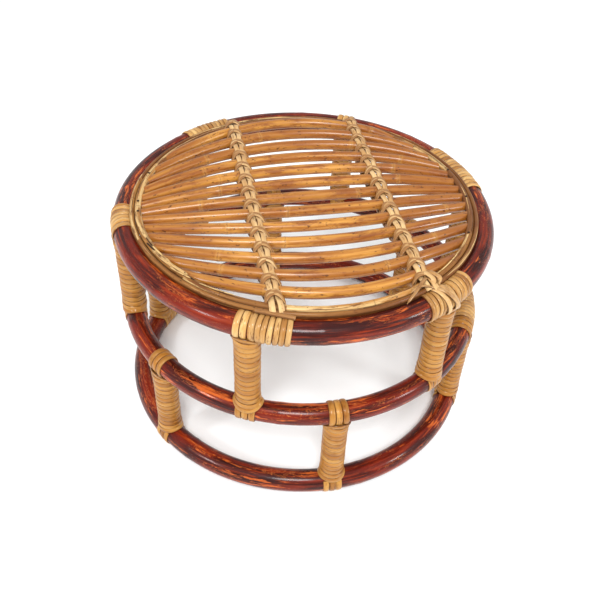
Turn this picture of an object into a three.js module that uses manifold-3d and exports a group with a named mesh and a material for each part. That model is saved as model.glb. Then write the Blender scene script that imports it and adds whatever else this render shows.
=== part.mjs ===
// A mudda stool: three rings of bent cane, held apart by short posts that are wound with flat cane
// strip, and a seat of bowed canes lashed to two crossbars. Millimetres, +Z up, floor at zero.
import * as THREE from "three";
import { mergeVertices } from "three/addons/utils/BufferGeometryUtils.js";
import Module from "manifold-3d";

const wasm = await Module();
wasm.setup();

const degrees = THREE.MathUtils.degToRad;
const fullTurn = 2 * Math.PI;

// The rings
const ringRadius = 207.5; // the centre line of the bent cane
const ringFacets = 36;
const caneSides = 12;
const topTubeRadius = 12.9;
const middleTubeRadius = 12.1;
const bottomTubeRadius = 13.2;
const bottomToMiddle = 120;
const middleToTop = 123;

// The flat cane strip and the room that touching pieces keep
const clearance = 0.3;
const stripThickness = 1.5;
const strapWidth = 7.3; // one pass of the wide strip that goes round the rings
const strapsPerJoint = 3;

// The posts and their windings
const postsPerTier = 6;
const postRadius = 12;
const postSides = 8;
const mouthRise = 7; // how far from a ring's centre line the fish mouth's tips stop
const upperPostAngle = degrees(3.6);
const lowerPostAngle = degrees(30.6);
const upperTurns = 14;
const lowerTurns = 13;
const turnGap = 0.55; // between one turn and the next
const strapLapShare = 0.65; // of one turn's rise, how far a strap runs in under the winding
const legShare = 0.5; // of a winding's straight end, how far the top straps hang beside it

// The seat canes
const seatCanes = 13;
const seatCaneRadius = 6.3;
const seatCaneEndRadius = 5;
const seatCaneSides = 8;
const seatCaneSteps = 8;
const seatCaneHeight = 15.9; // above the top ring's centre line, over the crossbars
const seatCaneEndHeight = 10;
const seatRimGap = 11.5; // between the outermost canes and the inner rim cane, at mid length
const seatSpreadOffset = 3; // how far the whole seat lies towards the back
const bowCentre = 8; // where along the canes they are furthest apart
const seatEndLap = 2.2; // how far the centre lines run in under the inner rim cane
const leftEndAngle = degrees(34);
const rightEndAngle = degrees(40);
const evenFanShare = 0.7; // the rest of the fan opens with the cube, so the outer canes spread

// The crossbars and the lashings that tie the seat canes to them
const crossbarRadius = 7;
const crossbarSides = 8;
const leftCrossbar = -63;
const rightCrossbar = 92;
const lashingWidth = 4;
const lashingThickness = 1.4;
const lashingReachShare = 1; // of a seat cane's radius, how far the strip lies flat on it
const lashingStagger = 1.5; // how far one pass round the bar moves along it, from corner to corner
const lashingCorners = [165, 240, 300, 375].map(degrees);
const lashingTail = 5;

// The rim canes and their nails
const outerRimHalfWidth = 2.8;
const outerRimHalfHeight = 3.1;
const innerRimHalfWidth = 3.2;
const innerRimHalfHeight = 4;
const rimSides = 8;
const outerRimInset = 9.2; // from the ring's centre line, towards the middle
const innerRimHeight = 14.6; // above the ring's centre line
const outerRimSplice = degrees(224);
const innerRimSplice = degrees(197);
const spliceGap = 0.8;
const nailRadius = 0.9;
const nailHeadRadius = 1.8;
const nailHeadThickness = 0.8;
const nailLength = 5;
const nailSides = 6;
const nailAngles = [11, 157, 175, 181, 331, 353].map(degrees);

// The wraps: how many passes of strip lie on a ring before and after the straps on each post,
// counting the posts round from the right
const topWraps = [
  { before: 0, after: 10 },
  { before: 0, after: 0 },
  { before: 6, after: 0 },
  { before: 3, after: 0 },
  { before: 0, after: 5 },
  { before: 3, after: 3 },
];
const middleWrapPasses = 8; // after the straps on the last post
const bottomWrapPasses = 5; // before the straps on the third post

const lacqueredCane = new THREE.MeshStandardMaterial({ color: 0x742d1d, roughness: 0.3 });
const caneStrip = new THREE.MeshStandardMaterial({ color: 0xd0a362, roughness: 0.5 });
const postCane = new THREE.MeshStandardMaterial({ color: 0xa8743c, roughness: 0.6 });
const seatCaneSkin = new THREE.MeshStandardMaterial({ color: 0xc98a44, roughness: 0.4 });
const splitCane = new THREE.MeshStandardMaterial({ color: 0xb98c50, roughness: 0.55 });
const darkIron = new THREE.MeshStandardMaterial({ color: 0x3a302a, roughness: 0.6, metalness: 0.8 });

// A polygon's corners and flats lie this far from its middle, as shares of the radius of the
// circle with the same area.
function cornerShare(sides) {
  const slice = fullTurn / sides;
  return Math.sqrt(slice / Math.sin(slice));
}

function flatShare(sides) {
  return cornerShare(sides) * Math.cos(Math.PI / sides);
}

// Places and sizes that follow from the values above
const strappedBottomRadius = bottomTubeRadius + clearance + stripThickness;
const bottomRing = {
  tubeRadius: bottomTubeRadius,
  height: strappedBottomRadius * flatShare(caneSides),
};
const middleRing = { tubeRadius: middleTubeRadius, height: bottomRing.height + bottomToMiddle };
const topRing = { tubeRadius: topTubeRadius, height: middleRing.height + middleToTop };
const facetAngle = fullTurn / ringFacets;
const firstCorner = (upperPostAngle + lowerPostAngle) / 2;
const postStep = fullTurn / postsPerTier;
const strapAngle = strapWidth / ringRadius;
const halfJoint = (strapsPerJoint * strapAngle) / 2;
const woundRadius = postRadius + clearance + stripThickness;
const wrappedTopRadius = topTubeRadius + clearance + stripThickness;
const innerRimInset = outerRimInset + outerRimHalfWidth + clearance + innerRimHalfWidth;
const insideRim = ringRadius - innerRimInset - innerRimHalfWidth;
const seatEndRadius = insideRim + seatEndLap;
const seatHalfSpread = insideRim - seatRimGap - seatCaneRadius; // of the canes' centre lines
const crossbarHeight =
  topRing.height + seatCaneHeight - seatCaneRadius - clearance - crossbarRadius;

const centre = new THREE.Vector2(0, 0);

// An oval outline with flats at the top, the bottom and both sides.
function ovalOutline(halfWidth, sides, halfHeight = halfWidth) {
  return Array.from({ length: sides }, (_, i) => {
    const angle = ((i + 0.5) * fullTurn) / sides;
    const corner = new THREE.Vector2(Math.cos(angle) * halfWidth, Math.sin(angle) * halfHeight);
    return corner.multiplyScalar(cornerShare(sides));
  });
}

function moved(outline, x, y) {
  return outline.map((point) => new THREE.Vector2(point.x + x, point.y + y));
}

// Six times the signed volume inside a list of triangles: negative if they face inwards.
function signedVolume(positions, faces) {
  const [a, b, c] = [new THREE.Vector3(), new THREE.Vector3(), new THREE.Vector3()];
  let sum = 0;
  for (let i = 0; i < faces.length; i += 3) {
    a.fromArray(positions, 3 * faces[i]);
    b.fromArray(positions, 3 * faces[i + 1]);
    c.fromArray(positions, 3 * faces[i + 2]);
    sum += a.dot(b.cross(c));
  }
  return sum;
}

// Joins an outline at each place into one closed skin. A hole runs through from end to end.
function sweep(outline, places, { closed = false, hole = [] } = {}) {
  const outer = THREE.ShapeUtils.isClockWise(outline) ? outline.toReversed() : outline;
  const inner = hole.toReversed();
  const points = [...outer, ...inner];
  const positions = places.flatMap((place) => points.flatMap((point) => place(point).toArray()));
  const faces = [];
  const spans = closed ? places.length : places.length - 1;
  for (let span = 0; span < spans; span++) {
    const here = span * points.length;
    const next = ((span + 1) % places.length) * points.length;
    for (const [first, loop] of [[0, outer], [outer.length, inner]]) {
      loop.forEach((_, i) => {
        const a = first + i;
        const b = first + ((i + 1) % loop.length);
        faces.push(here + a, here + b, next + b, here + a, next + b, next + a);
      });
    }
  }
  if (!closed) {
    const last = (places.length - 1) * points.length;
    const holes = inner.length ? [inner] : [];
    for (const [a, b, c] of THREE.ShapeUtils.triangulateShape(outer, holes)) {
      faces.push(c, b, a, last + a, last + b, last + c);
    }
  }
  if (signedVolume(positions, faces) < 0) faces.reverse();
  const geometry = new THREE.BufferGeometry();
  geometry.setAttribute("position", new THREE.Float32BufferAttribute(positions, 3));
  geometry.setIndex(faces);
  return geometry;
}

function solidFrom(geometry) {
  const bare = geometry.clone();
  bare.deleteAttribute("normal");
  bare.deleteAttribute("uv");
  const merged = mergeVertices(bare);
  const triVerts = new Uint32Array(merged.index.array);
  const vertProperties = merged.attributes.position.array;
  return new wasm.Manifold(new wasm.Mesh({ numProp: 3, vertProperties, triVerts }));
}

function geometryFrom(solid) {
  const mesh = solid.getMesh();
  const geometry = new THREE.BufferGeometry();
  geometry.setAttribute("position", new THREE.BufferAttribute(mesh.vertProperties, 3));
  geometry.setIndex(new THREE.BufferAttribute(mesh.triVerts, 1));
  return geometry;
}

// A place on a ring. The outline's x points away from the stool's middle and its y up. A ring has
// flat facets, so everything that lies on one follows the same chords.
function ringPlace(height, angle) {
  const facets = (angle - firstCorner) / facetAngle;
  const fromMiddle = (facets - Math.floor(facets) - 0.5) * facetAngle;
  const chord = Math.cos(facetAngle / 2) / Math.cos(fromMiddle);
  return (point) =>
    new THREE.Vector3(
      (ringRadius + point.x) * chord * Math.cos(angle),
      (ringRadius + point.x) * chord * Math.sin(angle),
      height + point.y,
    );
}

// Both ends of a stretch of ring, and each facet corner between them.
function ringPlaces(height, from, to) {
  const corners = [];
  const slackShare = 0.01;
  const last = (to - firstCorner) / facetAngle - slackShare;
  for (let i = Math.ceil((from - firstCorner) / facetAngle + slackShare); i < last; i++) {
    corners.push(firstCorner + i * facetAngle);
  }
  return [from, ...corners, to].map((angle) => ringPlace(height, angle));
}

function ringArc(height, outline, from, to, hole = []) {
  return solidFrom(sweep(outline, ringPlaces(height, from, to), { hole }));
}

function wholeRing(height, outline) {
  const corners = Array.from({ length: ringFacets }, (_, i) =>
    ringPlace(height, firstCorner + i * facetAngle),
  );
  return solidFrom(sweep(outline, corners, { closed: true }));
}

// Room for a ring, taken out of what stands on it or runs up to it.
function ringRoom(height, tubeRadius, angle) {
  const outline = ovalOutline(tubeRadius + clearance, caneSides);
  return ringArc(height, outline, angle - facetAngle, angle + facetAngle);
}

// A place of its own for an outline: its x along one direction and its y along another.
function framedPlace(middle, across, along) {
  return (point) =>
    middle.clone().addScaledVector(across, point.x).addScaledVector(along, point.y);
}

function postPlace(angle, height) {
  const outwards = new THREE.Vector3(Math.cos(angle), Math.sin(angle), 0);
  const sideways = new THREE.Vector3(-Math.sin(angle), Math.cos(angle), 0);
  return framedPlace(ringPlace(height, angle)(centre), outwards, sideways);
}

function uprightPrism(angle, radius, from, to) {
  const places = [postPlace(angle, from), postPlace(angle, to)];
  return solidFrom(sweep(ovalOutline(radius, postSides), places));
}

// A post between two rings, each end cut to a fish mouth that fits its ring.
function postSolid(angle, lower, upper) {
  return uprightPrism(angle, postRadius, lower.height + mouthRise, upper.height - mouthRise)
    .subtract(ringRoom(lower.height, lower.tubeRadius, angle))
    .subtract(ringRoom(upper.height, upper.tubeRadius, angle));
}

// A strip with a flat back and a ridge, laid along points with the outward side given at each.
function stripAlong(points, outwards, width, thickness) {
  const outline = [
    new THREE.Vector2(0, -width / 2),
    new THREE.Vector2(thickness, 0),
    new THREE.Vector2(0, width / 2),
  ];
  const runs = points.slice(1).map((point, i) => point.clone().sub(points[i]).normalize());
  const places = points.map((point, i) => {
    const before = runs[Math.max(i - 1, 0)];
    const after = runs[Math.min(i, runs.length - 1)];
    const tangent = before.clone().add(after).normalize();
    const side = tangent.clone().cross(outwards[i]).normalize();
    const out = side.clone().cross(tangent);
    const bend = before.clone().projectOnPlane(out).angleTo(after.clone().projectOnPlane(out));
    return framedPlace(point, out, side.divideScalar(Math.cos(bend / 2)));
  });
  return { geometry: sweep(outline, places), skin: places.map((place) => outline.map(place)) };
}

// The least distance between points of a strip's skin that are well apart along the strip.
function leastGap(skin, apart) {
  let least = Infinity;
  for (let i = 0; i < skin.length; i++) {
    const others = skin.slice(i + apart).flat();
    for (const point of skin[i]) {
      for (const other of others) {
        least = Math.min(least, point.distanceTo(other));
      }
    }
  }
  return least;
}

// One unbroken strip round a post. It starts and ends with a straight tail, as long as the strip
// is wide, on the side of the post that lies along the ring.
function postWinding(angle, low, high, turns) {
  const turnRise = (high - low + 2 * turnGap) / (turns + 2);
  const width = turnRise - turnGap;
  const corner = (postRadius + clearance) * cornerShare(postSides);
  const flat = (postRadius + clearance) * flatShare(postSides);
  const points = [];
  const outwards = [];
  const add = (turn, radius, height) => {
    const around = (turn + 0.25) * fullTurn;
    const out = new THREE.Vector2(Math.cos(around), Math.sin(around));
    const axis = postPlace(angle, height);
    points.push(axis(out.clone().multiplyScalar(radius)));
    outwards.push(axis(out).sub(axis(centre)));
  };
  add(0, flat, low);
  add(0, flat, low + width);
  for (let step = 0.5; step < turns * postSides; step++) {
    add(step / postSides, corner, low + width + (turnRise * step) / postSides);
  }
  add(turns, flat, high - width);
  add(turns, flat, high);
  const ridge = stripThickness / Math.cos(Math.PI / postSides);
  return { ...stripAlong(points, outwards, width, ridge), width, turnRise };
}

// Which half of a ring the strips lie on.
const strapBelow = 1;
const strapAbove = -1;

// A strap hugs one half of a ring, and its two legs run on past the post to the given height.
// They run straight on from the ring's sides and clear the post's. Where the ring is so wide that
// they would miss the winding, they bend in to it past the ring.
function strapSolid(ring, angle, legHeight, facing) {
  const legs = (lift) => {
    const half = ovalOutline(ring.tubeRadius + lift, caneSides)
      .filter((point) => point.y < 0)
      .sort((a, b) => a.x - b.x);
    const ringX = half.at(-1).x;
    const postX = postRadius * flatShare(postSides) + lift;
    const bentIn = ringX > postX + stripThickness;
    const legX = bentIn ? postX + stripThickness / 2 : Math.max(ringX, postX);
    const leg = [new THREE.Vector2(legX, legHeight)];
    if (bentIn) leg.unshift(new THREE.Vector2(ringX, -half[0].y));
    const otherLeg = leg.map((point) => new THREE.Vector2(-point.x, point.y)).reverse();
    return [...otherLeg, ...half, ...leg];
  };
  const back = legs(clearance);
  const face = legs(clearance + stripThickness);
  const outline = [...face, ...back.reverse()].map(
    (point) => new THREE.Vector2(point.x, facing * point.y),
  );
  return ringArc(ring.height, outline, angle - halfJoint, angle + halfJoint);
}

// A sleeve of passes laid side by side round a ring, from one angle on. It leaves room for the
// wound post beside it.
function sleeveSolid(ring, from, passes, postAngle, facing) {
  const outer = ovalOutline(ring.tubeRadius + clearance + stripThickness, caneSides);
  const inner = ovalOutline(ring.tubeRadius + clearance, caneSides);
  const far = ring.height + facing * 2 * ring.tubeRadius;
  const ends = [ring.height, far].sort((a, b) => a - b);
  return ringArc(ring.height, outer, from, from + passes * strapAngle, inner).subtract(
    uprightPrism(postAngle, woundRadius + clearance, ...ends),
  );
}

const stool = new THREE.Group();

function addPiece(parent, name, geometry, material) {
  const piece = new THREE.Mesh(geometry, material);
  piece.name = name;
  parent.add(piece);
  return piece;
}

// A tier of wound posts between two rings, spread evenly round them.
function addTier(label, angle, lower, upper, turns, strapsUpper) {
  const low = lower.height + lower.tubeRadius + clearance;
  const high = upper.height - upper.tubeRadius - clearance;
  const winding = postWinding(angle, low, high, turns);
  console.log(`${label} winding: least gap ${leastGap(winding.skin, postSides - 1).toFixed(2)} mm`);
  const lap = clearance + winding.width + strapLapShare * winding.turnRise;
  let binding = solidFrom(winding.geometry).add(
    strapSolid(lower, angle, lower.tubeRadius + lap, strapBelow),
  );
  if (strapsUpper) {
    binding = binding.add(strapSolid(upper, angle, upper.tubeRadius + lap, strapAbove));
  }
  const postGeometry = geometryFrom(postSolid(angle, lower, upper));
  const bindingGeometry = geometryFrom(binding);
  for (let i = 0; i < postsPerTier; i++) {
    const place = new THREE.Group();
    place.rotation.z = i * postStep;
    addPiece(place, `${label}_post_${i + 1}`, postGeometry, postCane);
    addPiece(place, `${label}_post_binding_${i + 1}`, bindingGeometry, caneStrip);
    stool.add(place);
  }
  return winding.width;
}

const upperTail = addTier("upper", upperPostAngle, middleRing, topRing, upperTurns, false);
addTier("lower", lowerPostAngle, bottomRing, middleRing, lowerTurns, true);

// The wraps on the top ring: straps over each post's head, and the passes beside them.
topWraps.forEach(({ before, after }, i) => {
  const legs = topTubeRadius + clearance + legShare * upperTail;
  const from = upperPostAngle - halfJoint;
  const to = upperPostAngle + halfJoint;
  let wrap = strapSolid(topRing, upperPostAngle, legs, strapAbove);
  if (before) {
    const start = from - before * strapAngle;
    wrap = wrap.add(sleeveSolid(topRing, start, before, upperPostAngle, strapAbove));
  }
  if (after) wrap = wrap.add(sleeveSolid(topRing, to, after, upperPostAngle, strapAbove));
  const piece = addPiece(stool, `top_ring_wrap_${i + 1}`, geometryFrom(wrap), caneStrip);
  piece.rotation.z = i * postStep;
});

// The wide wraps over the other two rings' own joints lie beside a lower post's straps.
const besideStraps = halfJoint + clearance / ringRadius;

function addWideWrap(name, wrap) {
  return addPiece(stool, name, geometryFrom(wrap), caneStrip);
}

const middleWrapStart = lowerPostAngle + besideStraps;
const bottomWrapStart = lowerPostAngle - besideStraps - bottomWrapPasses * strapAngle;
addWideWrap(
  "middle_ring_wrap",
  sleeveSolid(middleRing, middleWrapStart, middleWrapPasses, lowerPostAngle, strapAbove),
).rotation.z = (postsPerTier - 1) * postStep;
addWideWrap(
  "bottom_ring_wrap",
  sleeveSolid(bottomRing, bottomWrapStart, bottomWrapPasses, lowerPostAngle, strapBelow),
).rotation.z = 2 * postStep;

// A crossbar runs from one side of the top ring to the other and butts on the wrapped ring.
function crossbarSolid(x) {
  const reach = Math.sqrt(ringRadius ** 2 - x ** 2);
  const across = new THREE.Vector3(1, 0, 0);
  const up = new THREE.Vector3(0, 0, 1);
  const places = [-reach, reach].map((y) =>
    framedPlace(new THREE.Vector3(x, y, crossbarHeight), across, up),
  );
  const endAngle = Math.acos(x / ringRadius);
  return solidFrom(sweep(ovalOutline(crossbarRadius, crossbarSides), places))
    .subtract(ringRoom(topRing.height, wrappedTopRadius, endAngle))
    .subtract(ringRoom(topRing.height, wrappedTopRadius, -endAngle));
}

// The centre line of one seat cane, as points with the share of its half length that each lies
// at. It bows between its ends, which fan out round the rim. The rank runs from -1 for the cane
// at the front to 1 for the one at the back.
function seatCaneLine(rank) {
  const fan = evenFanShare * rank + (1 - evenFanShare) * rank ** 3;
  const middleY = seatHalfSpread * rank + seatSpreadOffset;
  return Array.from({ length: seatCaneSteps + 1 }, (_, i) => {
    const along = (2 * i) / seatCaneSteps - 1;
    const endAngle = fan * (along < 0 ? leftEndAngle : rightEndAngle);
    const endX = Math.sign(along || 1) * seatEndRadius * Math.cos(endAngle);
    const endY = seatEndRadius * Math.sin(endAngle);
    const x = THREE.MathUtils.lerp(bowCentre, endX, Math.abs(along));
    const y = THREE.MathUtils.lerp(middleY, endY, along ** 2);
    const crossbar = along < 0 ? leftCrossbar : rightCrossbar;
    const pastCrossbar = Math.max((x - crossbar) / (endX - crossbar), 0);
    const z = THREE.MathUtils.lerp(seatCaneHeight, seatCaneEndHeight, pastCrossbar ** 2);
    return { along, point: new THREE.Vector3(x, y, topRing.height + z) };
  });
}

// Where a seat cane crosses a crossbar, its slope there, and how far to both sides of its centre
// line a strip that passes over it along the bar lies flat.
function seatCaneCrossing(line, x) {
  const next = line.findIndex(({ point }) => point.x > x);
  const from = line[next - 1].point;
  const to = line[next].point;
  const slope = (to.y - from.y) / (to.x - from.x);
  const slantedRadius = lashingReachShare * seatCaneRadius * Math.hypot(1, slope);
  const reach = slantedRadius + (lashingWidth / 2) * Math.abs(slope);
  return { y: from.y + slope * (x - from.x), slope, reach };
}

function seatCaneSolid(line) {
  const up = new THREE.Vector3(0, 0, 1);
  const places = line.map(({ along, point }, i) => {
    const from = line[Math.max(i - 1, 0)].point;
    const to = line[Math.min(i + 1, line.length - 1)].point;
    const tangent = to.clone().sub(from).normalize();
    const across = up.clone().cross(tangent).normalize();
    const above = tangent.clone().cross(across);
    const radius = THREE.MathUtils.lerp(seatCaneRadius, seatCaneEndRadius, Math.abs(along) ** 3);
    return framedPlace(point, across.multiplyScalar(radius), above.multiplyScalar(radius));
  });
  return solidFrom(sweep(ovalOutline(1, seatCaneSides), places));
}

// The space inside the inner rim cane, which the seat canes' ends are trimmed to.
function seatSpace() {
  const side = new THREE.Vector2(-innerRimInset - innerRimHalfWidth - clearance, 0);
  const outline = Array.from({ length: ringFacets }, (_, i) => {
    const corner = ringPlace(0, firstCorner + i * facetAngle)(side);
    return new THREE.Vector2(corner.x, corner.y);
  });
  const across = new THREE.Vector3(1, 0, 0);
  const along = new THREE.Vector3(0, 1, 0);
  const ends = [topRing.height, topRing.height + 2 * seatCaneHeight];
  const places = ends.map((z) => framedPlace(new THREE.Vector3(0, 0, z), across, along));
  return solidFrom(sweep(outline, places));
}

const trim = seatSpace();
const seatCaneLines = Array.from({ length: seatCanes }, (_, i) => {
  const middle = (seatCanes - 1) / 2;
  return seatCaneLine((middle - i) / middle);
});
seatCaneLines.forEach((line, i) => {
  const name = `seat_cane_${String(i + 1).padStart(2, "0")}`;
  const cane = seatCaneSolid(line).intersect(trim);
  addPiece(stool, name, geometryFrom(cane), seatCaneSkin);
});

// A lashing runs along a crossbar, from the front cane to the back one. It passes over each seat
// cane and, before the next, once round the bar: down the left side, under it and up again.
function seatLashing(x) {
  const points = [];
  const outwards = [];
  const add = (dx, y, z, out) => {
    points.push(new THREE.Vector3(x + dx, y, z));
    outwards.push(out);
  };
  const up = new THREE.Vector3(0, 0, 1);
  const outwardsX = new THREE.Vector3(Math.sign(x), 0, 0);
  const widest = (lashingCorners[1] - lashingCorners[0]) / 2;
  const aroundBar =
    (crossbarRadius * cornerShare(crossbarSides) + clearance) / Math.cos(widest);
  const over = topRing.height + seatCaneHeight + seatCaneRadius * cornerShare(seatCaneSides);
  const tailX = -Math.sign(x) * aroundBar * Math.cos(lashingCorners[0]);
  const tailZ = crossbarHeight + aroundBar * Math.sin(lashingCorners[0]);
  const crossings = seatCaneLines.map((line) => seatCaneCrossing(line, x)).reverse();
  const front = crossings[0];
  const startY = front.y - front.reach - lashingStagger + front.slope * tailX;
  add(tailX, startY, tailZ - lashingTail, outwardsX);
  add(tailX, startY, tailZ, outwardsX);
  crossings.forEach(({ y, slope, reach }, i) => {
    add(0, y - reach, over + clearance, up);
    add(0, y + reach, over + clearance, up);
    if (i === crossings.length - 1) return;
    const next = crossings[i + 1];
    lashingCorners.forEach((angle, k) => {
      const out = new THREE.Vector3(Math.cos(angle), 0, Math.sin(angle));
      const at = out.clone().multiplyScalar(aroundBar);
      const stagger = ((2 * k) / (lashingCorners.length - 1) - 1) * lashingStagger;
      const between = (y + next.y + (slope + next.slope) * at.x) / 2;
      add(at.x, between + stagger, crossbarHeight + at.z, out);
    });
  });
  const back = crossings.at(-1);
  const endY = back.y + back.reach + lashingStagger + back.slope * tailX;
  add(tailX, endY, tailZ, outwardsX);
  add(tailX, endY, tailZ - lashingTail, outwardsX);
  return stripAlong(points, outwards, lashingWidth, lashingThickness);
}

for (const [side, x] of [["left", leftCrossbar], ["right", rightCrossbar]]) {
  addPiece(stool, `crossbar_${side}`, geometryFrom(crossbarSolid(x)), postCane);
  const lashing = seatLashing(x);
  const gap = leastGap(lashing.skin, lashingCorners.length);
  console.log(`${side} lashing: least gap ${gap.toFixed(2)} mm`);
  addPiece(stool, `seat_lashing_${side}`, lashing.geometry, caneStrip);
}

// The rim canes are bent into rings whose two ends almost meet. The outer one lies on the wraps.
function rimCane(outline, splice) {
  const halfGap = spliceGap / ringRadius / 2;
  return ringArc(topRing.height, outline, splice + halfGap, splice + fullTurn - halfGap);
}

const outerRimHeight = Math.sqrt(
  (wrappedTopRadius * cornerShare(caneSides) +
    clearance +
    outerRimHalfHeight * cornerShare(rimSides)) **
    2 -
    outerRimInset ** 2,
);
const outerRimOutline = moved(
  ovalOutline(outerRimHalfWidth, rimSides, outerRimHalfHeight),
  -outerRimInset,
  outerRimHeight,
);
addPiece(
  stool,
  "rim_cane_outer",
  geometryFrom(rimCane(outerRimOutline, outerRimSplice)),
  splitCane,
);

// A nail's head lies on the inner rim cane and its shank stands in a hole in it.
function nailGeometry() {
  const profile = [
    new THREE.Vector2(0, -nailLength),
    new THREE.Vector2(nailRadius, -nailLength + nailRadius),
    new THREE.Vector2(nailRadius, 0),
    new THREE.Vector2(nailHeadRadius, 0),
    new THREE.Vector2(nailHeadRadius, nailHeadThickness),
    new THREE.Vector2(0, nailHeadThickness),
  ];
  return new THREE.LatheGeometry(profile, nailSides).rotateX(Math.PI / 2);
}

function nailHole(seat) {
  const radius = nailRadius + clearance;
  const length = 2 * (nailLength + clearance);
  return new THREE.CylinderGeometry(radius, radius, length, nailSides)
    .rotateX(Math.PI / 2)
    .translate(seat.x, seat.y, seat.z - clearance);
}

const innerRimOutline = moved(
  ovalOutline(innerRimHalfWidth, rimSides, innerRimHalfHeight),
  -innerRimInset,
  innerRimHeight,
);
const innerRimTop = innerRimHeight + innerRimHalfHeight * flatShare(rimSides);
const nailSeat = new THREE.Vector2(-innerRimInset, innerRimTop + clearance);
let innerRim = rimCane(innerRimOutline, innerRimSplice);
nailAngles.forEach((angle, i) => {
  const seat = ringPlace(topRing.height, angle)(nailSeat);
  innerRim = innerRim.subtract(solidFrom(nailHole(seat)));
  const nail = addPiece(stool, `rim_nail_${i + 1}`, nailGeometry(), darkIron);
  nail.position.copy(seat);
});
addPiece(stool, "rim_cane_inner", geometryFrom(innerRim), splitCane);

// The three rings
const rings = { top_ring: topRing, middle_ring: middleRing, bottom_ring: bottomRing };
for (const [name, { height, tubeRadius }] of Object.entries(rings)) {
  const ring = wholeRing(height, ovalOutline(tubeRadius, caneSides));
  addPiece(stool, name, geometryFrom(ring), lacqueredCane);
}

export default stool;
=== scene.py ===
"""A low round stool of bent cane, bound with cane strip, in a plain studio."""

import random
from math import atan2, cos, hypot, pi, radians, sin, sqrt, tau

import bpy
import numpy as np
from mathutils import Matrix, Vector, noise


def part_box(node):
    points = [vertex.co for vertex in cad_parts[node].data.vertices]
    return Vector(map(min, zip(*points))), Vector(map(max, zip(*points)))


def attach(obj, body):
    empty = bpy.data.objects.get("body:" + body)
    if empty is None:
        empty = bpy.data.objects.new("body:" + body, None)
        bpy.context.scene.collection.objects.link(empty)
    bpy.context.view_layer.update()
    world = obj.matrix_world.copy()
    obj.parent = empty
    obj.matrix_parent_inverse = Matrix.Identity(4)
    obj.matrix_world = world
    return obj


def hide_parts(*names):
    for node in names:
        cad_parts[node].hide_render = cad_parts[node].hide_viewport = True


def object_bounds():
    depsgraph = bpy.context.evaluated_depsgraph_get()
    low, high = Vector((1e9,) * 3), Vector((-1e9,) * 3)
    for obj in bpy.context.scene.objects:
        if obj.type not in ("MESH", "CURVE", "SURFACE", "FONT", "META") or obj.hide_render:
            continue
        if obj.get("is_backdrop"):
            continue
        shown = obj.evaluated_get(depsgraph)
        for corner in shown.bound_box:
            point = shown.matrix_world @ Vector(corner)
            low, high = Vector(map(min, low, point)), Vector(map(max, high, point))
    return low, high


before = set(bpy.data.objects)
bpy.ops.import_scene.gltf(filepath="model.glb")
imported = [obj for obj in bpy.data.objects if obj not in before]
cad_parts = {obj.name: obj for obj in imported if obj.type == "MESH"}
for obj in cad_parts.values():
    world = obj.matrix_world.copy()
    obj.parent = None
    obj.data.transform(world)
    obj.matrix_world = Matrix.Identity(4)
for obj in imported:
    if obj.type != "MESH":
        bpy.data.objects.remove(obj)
cad_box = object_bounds()


# The three rings
# Each is one thick cane, steamed and bent until its ends meet, stained dark red-brown and
# lacquered. It swells a little at its knots, and its own joint lies hidden under a wrap.

ring_radius = 0.2072
ring_sides = 32
ring_steps = 480
ring_swell = 0.022
ring_knot_spacing = 0.19
ring_end_turn = 0.001
round_share = 1.01
ring_joints = {"top_ring": 16, "middle_ring": 342, "bottom_ring": 142}
knot_width = 0.0035
first_knot_shares = (0.3, 0.8)
knot_gap_shares = (0.75, 1.25)
far_from_knots = 1.0
longest_stock = 40
smooth_angle = radians(50)

chance = random.Random(4)


def ring_sizes(node):
    low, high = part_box(node)
    return {"height": (low.z + high.z) / 2, "tube": (high.z - low.z) / 2 * round_share}


rings = {node: ring_sizes(node) for node in ring_joints}


def unit(vectors):
    return vectors / np.linalg.norm(vectors, axis=1, keepdims=True)


def running_length(points):
    """How far along a line each of its points lies."""
    runs = np.linalg.norm(np.diff(np.array(points, float), axis=0), axis=1)
    return np.concatenate([[0], np.cumsum(runs)])


def spokes_at(turns):
    return np.column_stack([np.cos(turns), np.sin(turns), np.zeros(len(turns))])


def edit_all(change, **settings):
    """Makes one change to the whole mesh of the piece at hand."""
    bpy.ops.object.mode_set(mode="EDIT")
    bpy.ops.mesh.select_all(action="SELECT")
    change(**settings)
    bpy.ops.object.mode_set(mode="OBJECT")


def face_outwards():
    edit_all(bpy.ops.mesh.normals_make_consistent, inside=False)


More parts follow.
